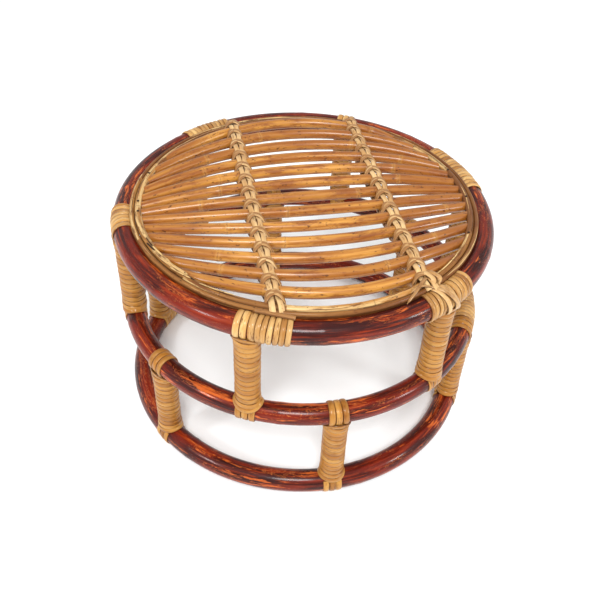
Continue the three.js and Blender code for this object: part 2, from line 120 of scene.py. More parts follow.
def lay(name, points, outwards, outline, girth=1, knots=None, tint=None):
    """Cuts straight stock with this outline and bends it along the points, its back inwards.

    Outwards is one direction or one for each point. The outline's first value lies across the
    piece and its second outwards. The straight shape is kept as an attribute, so that the
    grain follows the bend. Tint runs from 0, pale, to 1, brown."""
    points = np.array(points, float)
    distance = running_length(points)
    steps = len(points) - 1
    bpy.ops.mesh.primitive_circle_add(vertices=len(outline))
    piece = bpy.context.object
    piece.name = name
    for vertex, (across, out) in zip(piece.data.vertices, outline):
        vertex.co = (0, across, out)
    stretch = piece.modifiers.new("stretch", "SCREW")
    stretch.axis = "X"
    stretch.angle = 0
    stretch.screw_offset = distance[-1]
    stretch.steps = steps
    stretch.render_steps = steps
    bpy.ops.object.modifier_apply(modifier="stretch")
    edit_all(bpy.ops.mesh.fill_holes, sides=0)
    face_outwards()

    mesh = piece.data
    flat = np.empty(3 * len(mesh.vertices))
    mesh.vertices.foreach_get("co", flat)
    stock = flat.reshape(-1, 3)
    station = np.rint(stock[:, 0] / distance[-1] * steps).astype(int)
    forward = unit(np.gradient(points, axis=0))
    side = unit(np.cross(np.array(outwards, float), forward))
    out = np.cross(forward, side)
    size = np.broadcast_to(np.array(girth, float), steps + 1)[station, None]
    bent = points[station] + size * (stock[:, 1:2] * side[station] + stock[:, 2:] * out[station])
    mesh.vertices.foreach_set("co", bent.ravel())

    start = chance.uniform(0, longest_stock)
    keep_values(mesh, "straight", np.column_stack([start + distance[station], stock[:, 1:]]))
    half_width = max(abs(across) for across, _ in outline)
    keep_values(mesh, "edge", np.abs(stock[:, 1]) / half_width)
    tint = chance.random() if tint is None else tint
    keep_values(mesh, "tint", np.full(len(stock), tint))
    away = np.full(len(stock), far_from_knots)
    if knots is not None:
        apart = distance[station][:, None] - np.array(knots)[None, :]
        nearest = np.abs(apart).argmin(axis=1)
        away = np.take_along_axis(apart, nearest[:, None], axis=1)[:, 0]
    keep_values(mesh, "knot", away)
    face_outwards()
    bpy.ops.object.shade_smooth_by_angle(angle=smooth_angle)
    return piece


def keep_values(mesh, name, values):
    """Keeps a number or a place for each point of a mesh, which materials can read."""
    kind, field = ("FLOAT", "value") if values.ndim == 1 else ("FLOAT_VECTOR", "vector")
    attribute = mesh.attributes.get(name) or mesh.attributes.new(name, kind, "POINT")
    attribute.data.foreach_set(field, values.astype(np.float32).ravel())


def round_outline(sides, half_width, half_height=None):
    turns = [tau * i / sides for i in range(sides)]
    return [(half_width * sin(t), (half_height or half_width) * cos(t)) for t in turns]


def knot_places(length, spacing):
    place = chance.uniform(*first_knot_shares) * spacing
    places = []
    while place < length:
        places.append(place)
        place += spacing * chance.uniform(*knot_gap_shares)
    return places or [2 * length]


def knot_girth(points, knots, swell, width=knot_width):
    """How much thicker a cane is at each point, because of its knots."""
    distance = running_length(points)
    girth = np.ones(len(distance))
    for knot in knots:
        girth += swell * np.exp(-(((distance - knot) / width) ** 2))
    return girth


class Finish:
    """A material whose colour and relief follow the straight grain of each piece."""

    # Where a Mix node keeps its colours. Its other sockets have the same names.
    first_colour = 6
    second_colour = 7
    mixed_colour = 2

    def __init__(self, name, **settings):
        self.material = bpy.data.materials.new(name)
        self.material.use_nodes = True
        self.tree = self.material.node_tree
        self.shader = self.tree.nodes["Principled BSDF"]
        for socket, value in settings.items():
            self.shader.inputs[socket.replace("_", " ")].default_value = value

    def add(self, kind, **inputs):
        made = self.tree.nodes.new(kind)
        for socket, value in inputs.items():
            self.join(value, made.inputs[socket.replace("_", " ")])
        return made

    def join(self, value, socket):
        if isinstance(value, bpy.types.NodeSocket):
            self.tree.links.new(value, socket)
        else:
            socket.default_value = value

    def value_of(self, name, output="Fac"):
        attribute = self.add("ShaderNodeAttribute")
        attribute.attribute_name = name
        return attribute.outputs[output]

    def grain(self, along, across, detail=3.0, roughness=0.55, distortion=0.0):
        """Noise with so many lumps to the metre along the piece and across it."""
        straight = self.value_of("straight", "Vector")
        place = self.add("ShaderNodeMapping", Vector=straight, Scale=(along, across, across))
        lumps = self.add(
            "ShaderNodeTexNoise", Vector=place.outputs["Vector"], Scale=1.0, Detail=detail,
            Roughness=roughness, Distortion=distortion,
        )
        return lumps.outputs["Fac"]

    def spread(self, value, low, high, most=1.0):
        """The share of the way that a value lies from low to high, times most."""
        scaled = self.add(
            "ShaderNodeMapRange", Value=value, From_Min=low, From_Max=high, To_Max=most,
        )
        scaled.interpolation_type = "SMOOTHSTEP"
        return scaled.outputs["Result"]

    def combine(self, how, first, second=0.0):
        joined = self.add("ShaderNodeMath")
        joined.operation = how
        self.join(first, joined.inputs[0])
        self.join(second, joined.inputs[1])
        return joined.outputs["Value"]

    def blend(self, share, first, second):
        mixed = self.add("ShaderNodeMix")
        mixed.data_type = "RGBA"
        self.join(share, mixed.inputs["Factor"])
        self.join(first, mixed.inputs[self.first_colour])
        self.join(second, mixed.inputs[self.second_colour])
        return mixed.outputs[self.mixed_colour]

    def marks(self, under, colour, where, low, high, most=1.0):
        """Lays marks of a colour over another. Where is a value, or the numbers of a grain."""
        value = self.grain(*where) if isinstance(where, tuple) else where
        return self.blend(self.spread(value, low, high, most), under, colour)

    def colour(self, value):
        self.join(value, self.shader.inputs["Base Color"])

    def relief(self, height, distance, strength=1.0):
        bump = self.add("ShaderNodeBump", Height=height, Distance=distance, Strength=strength)
        self.join(bump.outputs["Normal"], self.shader.inputs["Normal"])

    def near_knot(self, reach):
        """1 on a knot and 0 beyond its reach."""
        away = self.combine("ABSOLUTE", self.value_of("knot"))
        return self.spread(away, reach, reach / 4)


def paint(red, green, blue):
    """A colour as it looks on a screen, from 0 to 255, for a shader."""
    shares = [value / 255 for value in (red, green, blue)]
    linear = [s / 12.92 if s < 0.04045 else ((s + 0.055) / 1.055) ** 2.4 for s in shares]
    return (*linear, 1.0)


def lacquered_cane():
    """Dark red-brown stain, purple in places, streaked and scratched through to orange."""
    finish = Finish(
        "lacquered_cane", Roughness=0.32, Specular_IOR_Level=0.12, Coat_Weight=0.32,
        Coat_Roughness=0.13, Coat_IOR=1.4,
    )
    base = finish.marks(paint(46, 9, 5), paint(116, 29, 10), (11, 80, 4, 0.6), 0.36, 0.62)
    purple = finish.marks(base, paint(46, 16, 16), (7, 50, 3, 0.6), 0.46, 0.6, 0.85)
    streaked = finish.marks(
        purple, paint(146, 50, 16), (18, 330, 5, 0.62, 0.4), 0.5, 0.66, 0.75,
    )
    wear_sum = finish.combine("ADD", finish.grain(10, 80, 3), finish.grain(42, 330, 6, 0.72, 0.6))
    worn = finish.spread(wear_sum, 1.08, 1.2)
    orange = finish.blend(worn, streaked, paint(198, 94, 34))
    centre_line = finish.combine("ADD", finish.grain(75, 230, 4, 0.62, 0.9), -0.5)
    scratch = finish.spread(finish.combine("ABSOLUTE", centre_line), 0.02, 0.006)
    places = finish.spread(finish.grain(13, 90, 3), 0.5, 0.6, 0.9)
    scratches = finish.combine("MULTIPLY", scratch, places)
    finish.colour(finish.blend(scratches, orange, paint(186, 98, 44)))
    finish.relief(finish.combine("MULTIPLY", finish.combine("ADD", worn, scratch), -1.0), 0.00012)
    return finish.material


def wear(piece, material, *nodes, slot):
    """Gives a piece its finish and its place on the frame."""
    piece.data.materials.clear()
    piece.data.materials.append(material)
    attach(piece, "root")
    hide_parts(*nodes)


lacquer = lacquered_cane()
for node, joint in ring_joints.items():
    sizes = rings[node]
    turns = radians(joint) + np.linspace(ring_end_turn, tau - ring_end_turn, ring_steps + 1)
    spokes = spokes_at(turns)
    points = ring_radius * spokes + [0, 0, sizes["height"]]
    knots = knot_places(tau * ring_radius, ring_knot_spacing)
    girth = knot_girth(points, knots, ring_swell)
    outline = round_outline(ring_sides, sizes["tube"])
    ring = lay(f"{node}_cane", points, spokes, outline, girth, knots)
    wear(ring, lacquer, node, slot="lacquered_cane")


# The posts
# Short canes, thinner than the rings. Each end is sawn to a fish mouth that fits its ring, and
# nails through the ring hold it. Little of them shows between the strips.

post_radius = 0.012
post_sides = 28
post_steps = 24
post_count = 6
post_turn = tau / post_count
post_knot_spacing = 0.08
mouth_room = 0.0002
mouth_steps = 360
mouth_sides = 40
grain_shifts = (1, 30)


def plain_cane(name, dark, light, spots):
    finish = Finish(name, Roughness=0.45, Coat_Weight=0.12, Coat_Roughness=0.3)
    fibres = finish.grain(30, 900, 4, 0.6)
    skin = finish.marks(dark, light, (16, 160, 3), 0.3, 0.7)
    lined = finish.marks(skin, spots, fibres, 0.3, 0.75, 0.35)
    finish.colour(finish.blend(finish.near_knot(0.0016), lined, spots))
    finish.relief(fibres, 0.0002)
    return finish.material


def copy_round(piece, name, turn):
    """A copy with its own mesh and its own stretch of grain, turned about the stool's middle."""
    double = piece.copy()
    double.data = piece.data.copy()
    double.name = name
    bpy.context.collection.objects.link(double)
    double.data.transform(Matrix.Rotation(turn, 4, "Z"))
    flat = np.empty(3 * len(double.data.vertices), np.float32)
    double.data.attributes["straight"].data.foreach_get("vector", flat)
    straight = flat.reshape(-1, 3) + [chance.uniform(*grain_shifts), 0, 0]
    keep_values(double.data, "straight", straight)
    return double


def post_angle(node):
    low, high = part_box(node)
    return atan2(low.y + high.y, low.x + high.x)


def saw_mouth(piece, sizes):
    """Cuts the room for a ring out of a piece."""
    bpy.ops.mesh.primitive_torus_add(
        location=(0, 0, sizes["height"]), major_radius=ring_radius,
        minor_radius=sizes["tube"] + mouth_room, major_segments=mouth_steps,
        minor_segments=mouth_sides,
    )
    room = bpy.context.object
    cut = piece.modifiers.new("mouth", "BOOLEAN")
    cut.operation = "DIFFERENCE"
    cut.solver = "EXACT"
    cut.object = room
    bpy.context.view_layer.objects.active = piece
    bpy.ops.object.modifier_apply(modifier="mouth")
    bpy.data.objects.remove(room)


tiers = {"upper": ("middle_ring", "top_ring"), "lower": ("bottom_ring", "middle_ring")}
post_cane = plain_cane("post_cane", paint(142, 92, 46), paint(186, 130, 70), paint(80, 46, 24))
for tier, (below, above) in tiers.items():
    turn = post_angle(f"{tier}_post_1")
    foot = rings[below]["height"] + rings[below]["tube"] / 2
    head = rings[above]["height"] - rings[above]["tube"] / 2
    axis = Vector((ring_radius * cos(turn), ring_radius * sin(turn), 0))
    points = [axis + Vector((0, 0, z)) for z in np.linspace(foot, head, post_steps + 1)]
    knots = knot_places(head - foot, post_knot_spacing)
    outline = round_outline(post_sides, post_radius)
    post = lay(f"{tier}_post_cane_1", points, axis.normalized(), outline, 1, knots)
    saw_mouth(post, rings[below])
    saw_mouth(post, rings[above])
    for i in range(post_count):
        name = f"{tier}_post_cane_{i + 1}"
        piece = copy_round(post, name, i * post_turn) if i else post
        wear(piece, post_cane, f"{tier}_post_{i + 1}", slot="post_cane")


# The bindings on the posts
# One flat strip of cane skin is wound from head to foot. Three straps per joint go round the
# ring with their ends under the turns, and the last turns ride down over the ring like a saddle.

strip_thickness = 0.0014
strap_width = 0.0072
straps_per_joint = 3
strap_ends = (radians(-42), radians(222))
strap_steps = 44
strap_slant = 0.002
strap_width_shares = (0.98, 1.03)
strap_thickness_shares = (0.95, 1.1)
upper_strap_share = 1.3
strap_tints = (0.2, 0.6)
skin_gap = 0.0002
turn_rise = 0.0069
turn_steps = 26
turn_overlap_share = 1.01
turn_thickness = 0.0018
turn_gap = 0.0003
turn_tint = 0.5
turn_wander_share = 0.05
turn_wander_pace = 1.7
turn_wander_lane = (3, 8)
head_share = 0.3
foot_shares = {"upper": 0.62, "lower": 0.8}
foot_slip_share = 0.12
strap_hump = 0.0009
strap_hump_reach = 0.012
head_spread_share = 0.1
saddle_spread_shares = {"upper": (0.05, 0.2), "lower": (0.24, 0.1)}
saddle_curve_share = 3
saddle_gap = 0.0004
saddle_lean_share = 1.5
saddle_reach = 0.004
binding_looseness = 0.00035
looseness_lumps = 70
looseness_shifts = (7.1, 3.3, 5.7)
warm_gloss = (1, 0.82, 0.6, 1)
flat_strip_shares = [
    (-1, 0.1), (-0.97, 0.5), (-0.82, 0.8), (-0.42, 0.95), (0, 1), (0.42, 0.95),
    (0.82, 0.8), (0.97, 0.5), (1, 0.1), (0.9, 0), (-0.9, 0),
]
round_strip_shares = [
    (-1, 0.1), (-0.95, 0.4), (-0.78, 0.7), (-0.5, 0.91), (0, 1), (0.5, 0.91),
    (0.78, 0.7), (0.95, 0.4), (1, 0.1), (0.9, 0), (-0.9, 0),
]


def strip(points, outwards, tint, width, thickness, shares, girth=1):
    """A strip for lay_all, whose outline takes these shares of its width and thickness."""
    outline = [(x * width / 2, y * thickness) for x, y in shares]
    return dict(points=points, outwards=outwards, outline=outline, girth=girth, tint=tint)


def wander_at(places):
    """A smooth random value from -1 to 1 for each place."""
    return np.array([noise.noise(Vector(place)) for place in places])


def on_ring(sizes, turn, tube_turn, lift=skin_gap):
    """Points on a ring's skin, at a turn round the stool and another up from its outer side,
    with the way out from the skin at each."""
    spokes = spokes_at(turn)
    out = np.cos(tube_turn)[:, None] * spokes + np.outer(np.sin(tube_turn), [0, 0, 1])
    middle = ring_radius * spokes + [0, 0, sizes["height"]]
    return middle + (sizes["tube"] + lift) * out, out


def reach_and_spokes(points):
    """How far out from the stool's middle the points lie, and which way."""
    reach = np.hypot(points[:, 0], points[:, 1])
    return reach, points * [1, 1, 0] / reach[:, None]


def push_off(points, sizes, lift):
    """Moves points that lie in a ring out to its skin, and says which way out is there."""
    spokes = reach_and_spokes(points)[1]
    middle = ring_radius * spokes + [0, 0, sizes["height"]]
    away = points - middle
    distance = np.linalg.norm(away, axis=1)
    room = sizes["tube"] + lift
    out = away / distance[:, None]
    inside = distance < room
    points[inside] = (middle + room * out)[inside]
    near = np.clip(1 - (distance - room) / saddle_reach, 0, 1)
    return points, out, near


def winding_line(tier, turn, lower, upper):
    """One strip wound down a post. In front and behind it runs on over both rings' sides, and
    beside the post it stays clear of them, so that its last turns sag like a saddle."""
    head = upper["height"] - head_share * upper["tube"]
    foot = lower["height"] + foot_shares[tier] * lower["tube"]
    ceiling = upper["height"] - upper["tube"] - turn_rise / 2
    floor = lower["height"] + lower["tube"] + turn_rise / 2
    turns = (head - foot) / turn_rise
    steps = int(turns * turn_steps)
    along = np.linspace(0, turns, steps + 1)
    wander = wander_at([(turn_wander_pace * s, *turn_wander_lane) for s in along])
    around = tau * along + pi / 2
    front = head - turn_rise * (along + turn_wander_share * wander)
    above = np.maximum(front - ceiling, 0)
    below = np.maximum(floor - front, 0)
    beside = np.clip(front, floor - foot_slip_share * below, ceiling)
    sag = 1 - np.abs(np.sin(around)) ** saddle_curve_share
    height = beside + (front - beside) * sag
    lap = np.clip(1 - np.minimum(ceiling - front, front - floor) / strap_hump_reach, 0, 1)
    radius = post_radius + turn_gap + strap_hump * lap
    spread_left, spread_right = saddle_spread_shares[tier]
    spread = np.where(np.sin(around) > 0, spread_right, spread_left)
    side_radius = radius + spread * below + head_spread_share * above
    outwards = np.array([cos(turn), sin(turn), 0])
    sideways = np.array([-sin(turn), cos(turn), 0])
    across = (radius * np.cos(around))[:, None] * outwards
    across = across + (side_radius * np.sin(around))[:, None] * sideways
    points = ring_radius * outwards + across + np.outer(height, [0, 0, 1])
    outs = unit(across)
    for sizes in (lower, upper):
        points, ring_out, near = push_off(points, sizes, strip_thickness + saddle_gap)
        outs = unit(outs + saddle_lean_share * near[:, None] * ring_out)
    width = turn_overlap_share * turn_rise
    return strip(points, outs, turn_tint, width, turn_thickness, flat_strip_shares)


def strap_lines(turn, sizes, facing):
    """Straps over a ring, or under it where facing is -1. Their ends hang past its middle."""
    for i in range(straps_per_joint):
        offset = (i - (straps_per_joint - 1) / 2) * strap_width / ring_radius
        slant = chance.uniform(-strap_slant, strap_slant)
        tube_turns = np.linspace(*strap_ends, strap_steps) * facing
        turns = turn + offset + slant * np.linspace(-1, 1, strap_steps)
        points, outs = on_ring(sizes, turns, tube_turns)
        width = strap_width * chance.uniform(*strap_width_shares)
        thickness = strip_thickness * chance.uniform(*strap_thickness_shares)
        if facing > 0:
            thickness *= upper_strap_share
        tint = chance.uniform(*strap_tints)
        yield strip(points, outs, tint, width, thickness, round_strip_shares)


def lay_all(name, lines):
    """Lays every line's strip or cane and joins them into one piece."""
    pieces = [lay(f"{name}_{i}", **line) for i, line in enumerate(lines)]
    bpy.ops.object.select_all(action="DESELECT")
    for piece in pieces:
        piece.select_set(True)
    bpy.context.view_layer.objects.active = pieces[0]
    if len(pieces) > 1:
        bpy.ops.object.join()
    pieces[0].name = name
    return pieces[0]


# Without a seed, the vectors of this noise would change from run to run.
noise.seed_set(4)


def loosen(piece, amount, seed):
    """Moves a bound piece's skin a little, as no strip lies quite even."""
    shift = Vector([seed * share for share in looseness_shifts])
    for vertex in piece.data.vertices:
        vertex.co += amount * noise.noise_vector(vertex.co * looseness_lumps + shift)
        vertex.co.z = max(vertex.co.z, 0)


def cane_strip(name, brown_and_shade, body, bright, stained_share):
    """Cane skin: fine fibres, painted shade at the edges, and specks and stains here and there."""
    finish = Finish(
        name, Roughness=0.38, Specular_IOR_Level=0.25, Specular_Tint=warm_gloss, Coat_Weight=0.25,
        Coat_Roughness=0.14,
    )
    fibres = finish.grain(40, 1700, 3, 0.6)
    tone = finish.marks(body, bright, (15, 70, 4, 0.6), 0.36, 0.64)
    tint = finish.combine("ADD", finish.value_of("tint"), finish.grain(9, 20, 2))
    tinted = finish.marks(tone, brown_and_shade, tint, 0.85, 1.3, 0.85)
    lined = finish.marks(tinted, brown_and_shade, fibres, 0.35, 0.75, 0.35)
    brown = finish.blend(0.35, brown_and_shade, paint(84, 46, 20))
    stained = finish.marks(lined, brown, (70, 260, 5, 0.7), 0.53, 0.68, stained_share)
    specked = finish.marks(stained, paint(70, 38, 20), (420, 900, 2), 0.68, 0.74, 0.8)
    # Painted shade: each strip darkens towards its edges, as in the gaps between neighbouring strips
    # and turns.
    dark = finish.blend(0.6, brown_and_shade, paint(58, 30, 12))
    finish.colour(finish.marks(specked, dark, finish.value_of("edge"), 0.82, 0.97, 0.88))
    finish.relief(fibres, 0.0002)
    return finish.material


post_strip = cane_strip(
    "post_strip", paint(123, 70, 23), paint(167, 110, 42), paint(196, 146, 74), 0.7,
)
for tier, (below, above) in tiers.items():
    turn = post_angle(f"{tier}_post_1")
    lower, upper = rings[below], rings[above]
    lines = [winding_line(tier, turn, lower, upper), *strap_lines(turn, lower, -1)]
    if above != "top_ring":
        lines += strap_lines(turn, upper, 1)
    binding = lay_all(f"{tier}_post_strips_1", lines)
    for i in reversed(range(post_count)):
        name = f"{tier}_post_strips_{i + 1}"
        piece = copy_round(binding, name, i * post_turn) if i else binding
        loosen(piece, binding_looseness, i + 1)
        wear(piece, post_strip, f"{tier}_post_binding_{i + 1}", slot="cane_strip")


# The wraps on the rings
# Straps over the posts' heads, and one long strip wound on along the ring beside them, where it
# holds a crossbar's end or the ring's own joint. The same strip binds the two lower rings' joints.

pass_steps = 30
usual_pitch = 0.0059
top_wrap_lengths = [(0, 0.071), (0, 0), (0.0426, 0), (0.0213, 0), (0, 0.0355), (0.0213, 0.0213)]
half_joint = 0.01065
middle_wrap_length = 0.0568
bottom_wrap_length = 0.0355
joint_wraps = [
    ("middle_ring", 6, half_joint, middle_wrap_length),
    ("bottom_ring", 3, -half_joint - bottom_wrap_length, bottom_wrap_length),
]
wrap_thickness = 0.0021
wrap_gap = 0.0003
wrap_tint = 0.55
wrap_start = radians(-110)
wrap_end_share = 0.05
wrap_wander_share = 0.1
wrap_start_pace = 9
wrap_wander_pace = 2.2
wrap_wander_lane = 5
wrap_looseness = 0.0003
top_wrap_seed = 10
joint_wrap_seed = 20


def wrap_line(sizes, turn, start, length):
    """One strip wound round a ring, from a start beside a turn on. Both its ends lie underneath."""
    passes = round(length / usual_pitch)
    pitch = length / passes
    rounds = np.linspace(wrap_end_share, passes - wrap_end_share, passes * pass_steps + 1)
    lane = wrap_start_pace * start
    wander = wander_at([(lane, wrap_wander_pace * r, wrap_wander_lane) for r in rounds])
    passed = 0.5 + np.clip(rounds - 0.5, 0, passes - 1)
    places = start + pitch * (passed + wrap_wander_share * wander)
    turns = turn + places / ring_radius
    points, outs = on_ring(sizes, turns, wrap_start + tau * rounds, wrap_gap)
    return strip(points, outs, wrap_tint, pitch, wrap_thickness, round_strip_shares)


def wrap_lines(sizes, turn, before, after):
    yield from strap_lines(turn, sizes, 1)
    if before:
        yield wrap_line(sizes, turn, -half_joint - before, before)
    if after:
        yield wrap_line(sizes, turn, half_joint, after)


ring_strip = cane_strip(
    "ring_strip", paint(124, 74, 32), paint(186, 134, 68), paint(224, 184, 120), 0.95,
)
first_turn = post_angle("upper_post_1")
for i, (before, after) in enumerate(top_wrap_lengths):
    lines = wrap_lines(rings["top_ring"], first_turn + i * post_turn, before, after)
    wrap = lay_all(f"top_ring_strips_{i + 1}", lines)
    loosen(wrap, wrap_looseness, i + top_wrap_seed)
    wear(wrap, ring_strip, f"top_ring_wrap_{i + 1}", slot="cane_strip")

for node, post, start, length in joint_wraps:
    turn = post_angle(f"lower_post_{post}")
    wrap = lay_all(f"{node}_strips", [wrap_line(rings[node], turn, start, length)])
    loosen(wrap, wrap_looseness, post + joint_wrap_seed)
    wear(wrap, ring_strip, f"{node}_wrap", slot="cane_strip")


# The crossbars
# Two plain canes that lie under the seat from one side of the top ring to the other. Their ends
# butt on the wrapped ring, and the seat's lashings hold them up against the seat canes.

bar_sides = 20
bar_steps = 120
bar_knot_spacing = 0.13
bar_swell = 0.03
up = (0, 0, 1)

bars = {}
for side in ("left", "right"):
    low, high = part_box(f"crossbar_{side}")
    bar_radius = (high.z - low.z) / 2
    bars[side] = {"x": (low.x + high.x) / 2, "z": (low.z + high.z) / 2, "radius": bar_radius}
    ys = np.linspace(low.y, high.y, bar_steps + 1)
    points = [(bars[side]["x"], y, bars[side]["z"]) for y in ys]
    knots = knot_places(high.y - low.y, bar_knot_spacing)
    girth = knot_girth(points, knots, bar_swell)
    outline = round_outline(bar_sides, bar_radius)
    bar = lay(f"crossbar_cane_{side}", points, up, outline, girth, knots)
    wear(bar, post_cane, f"crossbar_{side}", slot="post_cane")


# The seat canes
# Thirteen thin canes, golden and lightly lacquered. They bow apart over the middle, are drawn
# together at both ends, and stop against the rim. Knots ring them here and there.

seat_count = 13
seat_sides = 24
seat_steps = 220
seat_radius = 0.0063
seat_end_radius = 0.0056
seat_height = 0.0159
seat_end_height = 0.01
seat_half_spread = 0.171
seat_offset = 0.003
seat_bow_centre = 0.008
seat_reach = 0.191
seat_left_end = radians(34)
seat_right_end = radians(40)
seat_trim = 0.1886
even_fan_share = 0.7
seat_length = 0.38
seat_knot_spacing = 0.21
seat_swell = 0.05
fine_knot_width = 0.003
merge_distance = 0.00003
# Darker ends: on which side, from where on, over what length and how much.
darker_ends = [(1, 0.045, 0.09, 0.75), (-1, 0.09, 0.08, 0.45)]


def seat_line(rank):
    """The centre line of a cane, from left to right. The rank runs from -1 at the front to 1."""
    fan = even_fan_share * rank + (1 - even_fan_share) * rank ** 3
    line = []
    for along in np.linspace(-1, 1, seat_steps + 1):
        left = along < 0
        end_turn = fan * (seat_left_end if left else seat_right_end)
        end_x = (-1 if left else 1) * seat_reach * cos(end_turn)
        x = seat_bow_centre + (end_x - seat_bow_centre) * abs(along)
        middle_y = seat_half_spread * rank + seat_offset
        y = middle_y + (seat_reach * sin(end_turn) - middle_y) * along ** 2
        bar = bars["left" if left else "right"]["x"]
        past = max((x - bar) / (end_x - bar), 0)
        z = seat_height + (seat_end_height - seat_height) * past ** 2
        line.append((x, y, rings["top_ring"]["height"] + z))
    return np.array(line)


def trim_ends(piece):
    """Slides what would run into the rim back along the cane, and closes the end there."""
    for vertex in piece.data.vertices:
        reach = hypot(vertex.co.x, vertex.co.y)
        if reach > seat_trim:
            x = sqrt(max(seat_trim ** 2 - vertex.co.y ** 2, 0))
            vertex.co.x = x if vertex.co.x > 0 else -x
    edit_all(bpy.ops.mesh.remove_doubles, threshold=merge_distance)
    face_outwards()


def golden_cane():
    """Golden skin with brown stains and specks, darker ends and faint rings at the knots."""
    finish = Finish(
        "seat_cane", Roughness=0.42, Specular_IOR_Level=0.25, Specular_Tint=warm_gloss,
        Coat_Weight=0.6, Coat_Roughness=0.24,
    )
    fibres = finish.grain(30, 1100, 4, 0.6)
    skin = finish.marks(
        paint(146, 83, 26), paint(200, 141, 60), (13, 190, 4, 0.6), 0.34, 0.66,
    )
    tint = finish.spread(finish.value_of("tint"), 0.3, 1.0, 0.6)
    tone = finish.combine("MAXIMUM", tint, finish.value_of("shade"))
    toned = finish.blend(tone, skin, paint(141, 80, 26))
    stained = finish.marks(toned, paint(122, 62, 22), (34, 130, 5, 0.72), 0.5, 0.64, 0.75)
    specked = finish.marks(stained, paint(76, 38, 16), (190, 420, 2, 0.5), 0.64, 0.7, 0.85)
    lined = finish.marks(specked, paint(132, 74, 28), fibres, 0.35, 0.8, 0.25)
    wavy = finish.combine("MULTIPLY", finish.grain(60, 260, 2), 0.004)
    away = finish.combine("ADD", finish.combine("ADD", finish.value_of("knot"), wavy), -0.002)
    apart = finish.combine("ABSOLUTE", away)
    banded = finish.marks(lined, paint(216, 166, 88), apart, 0.004, 0.001, 0.2)
    line = finish.spread(apart, 0.0009, 0.0002, 0.6)
    faint = finish.combine("MULTIPLY", line, finish.spread(finish.grain(60, 420, 2), 0.35, 0.6))
    finish.colour(finish.blend(faint, banded, paint(96, 50, 20)))
    finish.relief(finish.combine("ADD", fibres, finish.combine("MULTIPLY", line, -1.0)), 0.00018)
    return finish.material


seat_cane = golden_cane()
seat_lines = []
middle = (seat_count - 1) / 2
ends = np.abs(np.linspace(-1, 1, seat_steps + 1))
taper = 1 + (seat_end_radius / seat_radius - 1) * ends ** 3
for i in range(seat_count):
    line = seat_line((middle - i) / middle)
    seat_lines.append(line)
    knots = knot_places(seat_length, seat_knot_spacing)
    girth = taper * knot_girth(line, knots, seat_swell, fine_knot_width)
    outline = round_outline(seat_sides, seat_radius)
    cane = lay(f"seat_cane_round_{i + 1:02}", line, up, outline, girth, knots)
    trim_ends(cane)
    xs = np.array([vertex.co.x for vertex in cane.data.vertices])
    shade = sum(
        np.clip((side * xs - start) / length, 0, most) for side, start, length, most in darker_ends
    )
    keep_values(cane.data, "shade", shade)
    wear(cane, seat_cane, f"seat_cane_{i + 1:02}", slot="seat_cane")


# The lashings on the seat
# Along each crossbar two strips run side by side over every seat cane. Between the canes they
# are drawn down by loops that go round the bar too and cross each other at a slant.

runner_width = 0.006
runner_thickness = 0.0016
runner_spread = 0.0031
runner_dip = 0.003
runner_end_spread = 0.0012
runner_step = 0.0011
runner_gap = 0.0003
runner_tuck = 0.003
runner_end_inset = 0.0064
runner_dip_share = 0.3
runner_dip_reach = 0.002
runner_pinch_share = 0.1
runner_sway_share = 0.2
runner_tilt_share = 0.25
runner_end_reach = 0.03
runner_end_growth_share = 0.15
runner_tints = (0, 0.25)
rim_middle = seat_trim + 0.007
rim_gap = 0.0002
loop_width = 0.0047
loop_thickness = 0.0013
loop_steps = 64
loop_jitter = 0.06
loop_shift_jitter = 0.08
loop_width_shares = (0.85, 1)
loop_corner_shares = [
    (0, -0.1, -0.03), (0.8, -0.2, 0), (1.1, -0.4, 0.35), (1.25, -0.5, 0.72),
    (1.05, 0.1, 0.93), (0.6, 0.55, 0.995), (-0.1, 0.35, 1.01), (-0.7, 0, 0.985),
    (-1.15, -0.4, 0.9), (-1.65, -0.9, 0.68), (-1.25, -0.9, 0.35), (-0.7, -0.5, 0),
    (0, -0.1, -0.03),
]
loop_choices = [(0.35, -1, 0.85), (0.55, 0.85, 0.5), (-0.1, -0.9, 0.45), (-0.1, 1, 0.8)]
rim_dip = 0.0034
rim_pull_share = 0.7
cane_top = rings["top_ring"]["height"] + seat_height + seat_radius
ring_top = rings["top_ring"]["height"] + rings["top_ring"]["tube"]
rim_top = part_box("rim_cane_outer")[1].z
corner_cuts = 4
cut_share = 0.25
tie_steps = 60
tie_thickness = 0.0018
tie_point_share = 0.3
tie_growth = 12
tie_lean_start = 0.188
tie_lean_reach = 0.012
ring_tie_steps = 14
# The swerve is how far a bar's runners bend aside at the front, within that reach.
swerves = {"left": 0, "right": 0.011}
swerve_reach = 0.035
# A corner of these is a turn in degrees, a reach and a height.
left_tie_corners = [
    (244.5, 0.2006, ring_top + 0.0006), (247, 0.2014, ring_top + 0.0016),
    (250, 0.2024, ring_top + 0.0022), (253, 0.2034, ring_top + 0.0022),
    (255, 0.2042, ring_top + 0.0022), (256.8, 0.205, ring_top + 0.0018),
]
left_tie_width = 0.0058
left_tie_thickness = 0.0036
rim_tie_corners = [
    (292, 0.194, rim_top - 0.006), (293.5, 0.1955, rim_top + 0.0006),
    (296, 0.197, rim_top + 0.0034),
]
cross_tie_corners = [
    (289.5, 0.2025, ring_top - 0.001), (292.5, 0.2005, rim_top + 0.0004),
    (295.5, 0.196, rim_top + 0.0034), (299, 0.1905, rim_top + 0.003),
    (302, 0.1885, rim_top - 0.004),
]
# A corner of these lies so far right of the bar, so far in from the rim, and so high.
bar_tie_corners = [
    [
        (0.001, 0.012, cane_top - 0.001), (0.005, 0.002, cane_top + 0.001),
        (0.010, -0.005, rim_top + 0.0024),
    ],
    [
        (0.006, 0.012, cane_top - 0.001), (0.011, 0.003, cane_top + 0.001),
        (0.017, -0.003, rim_top + 0.0026),
    ],
]
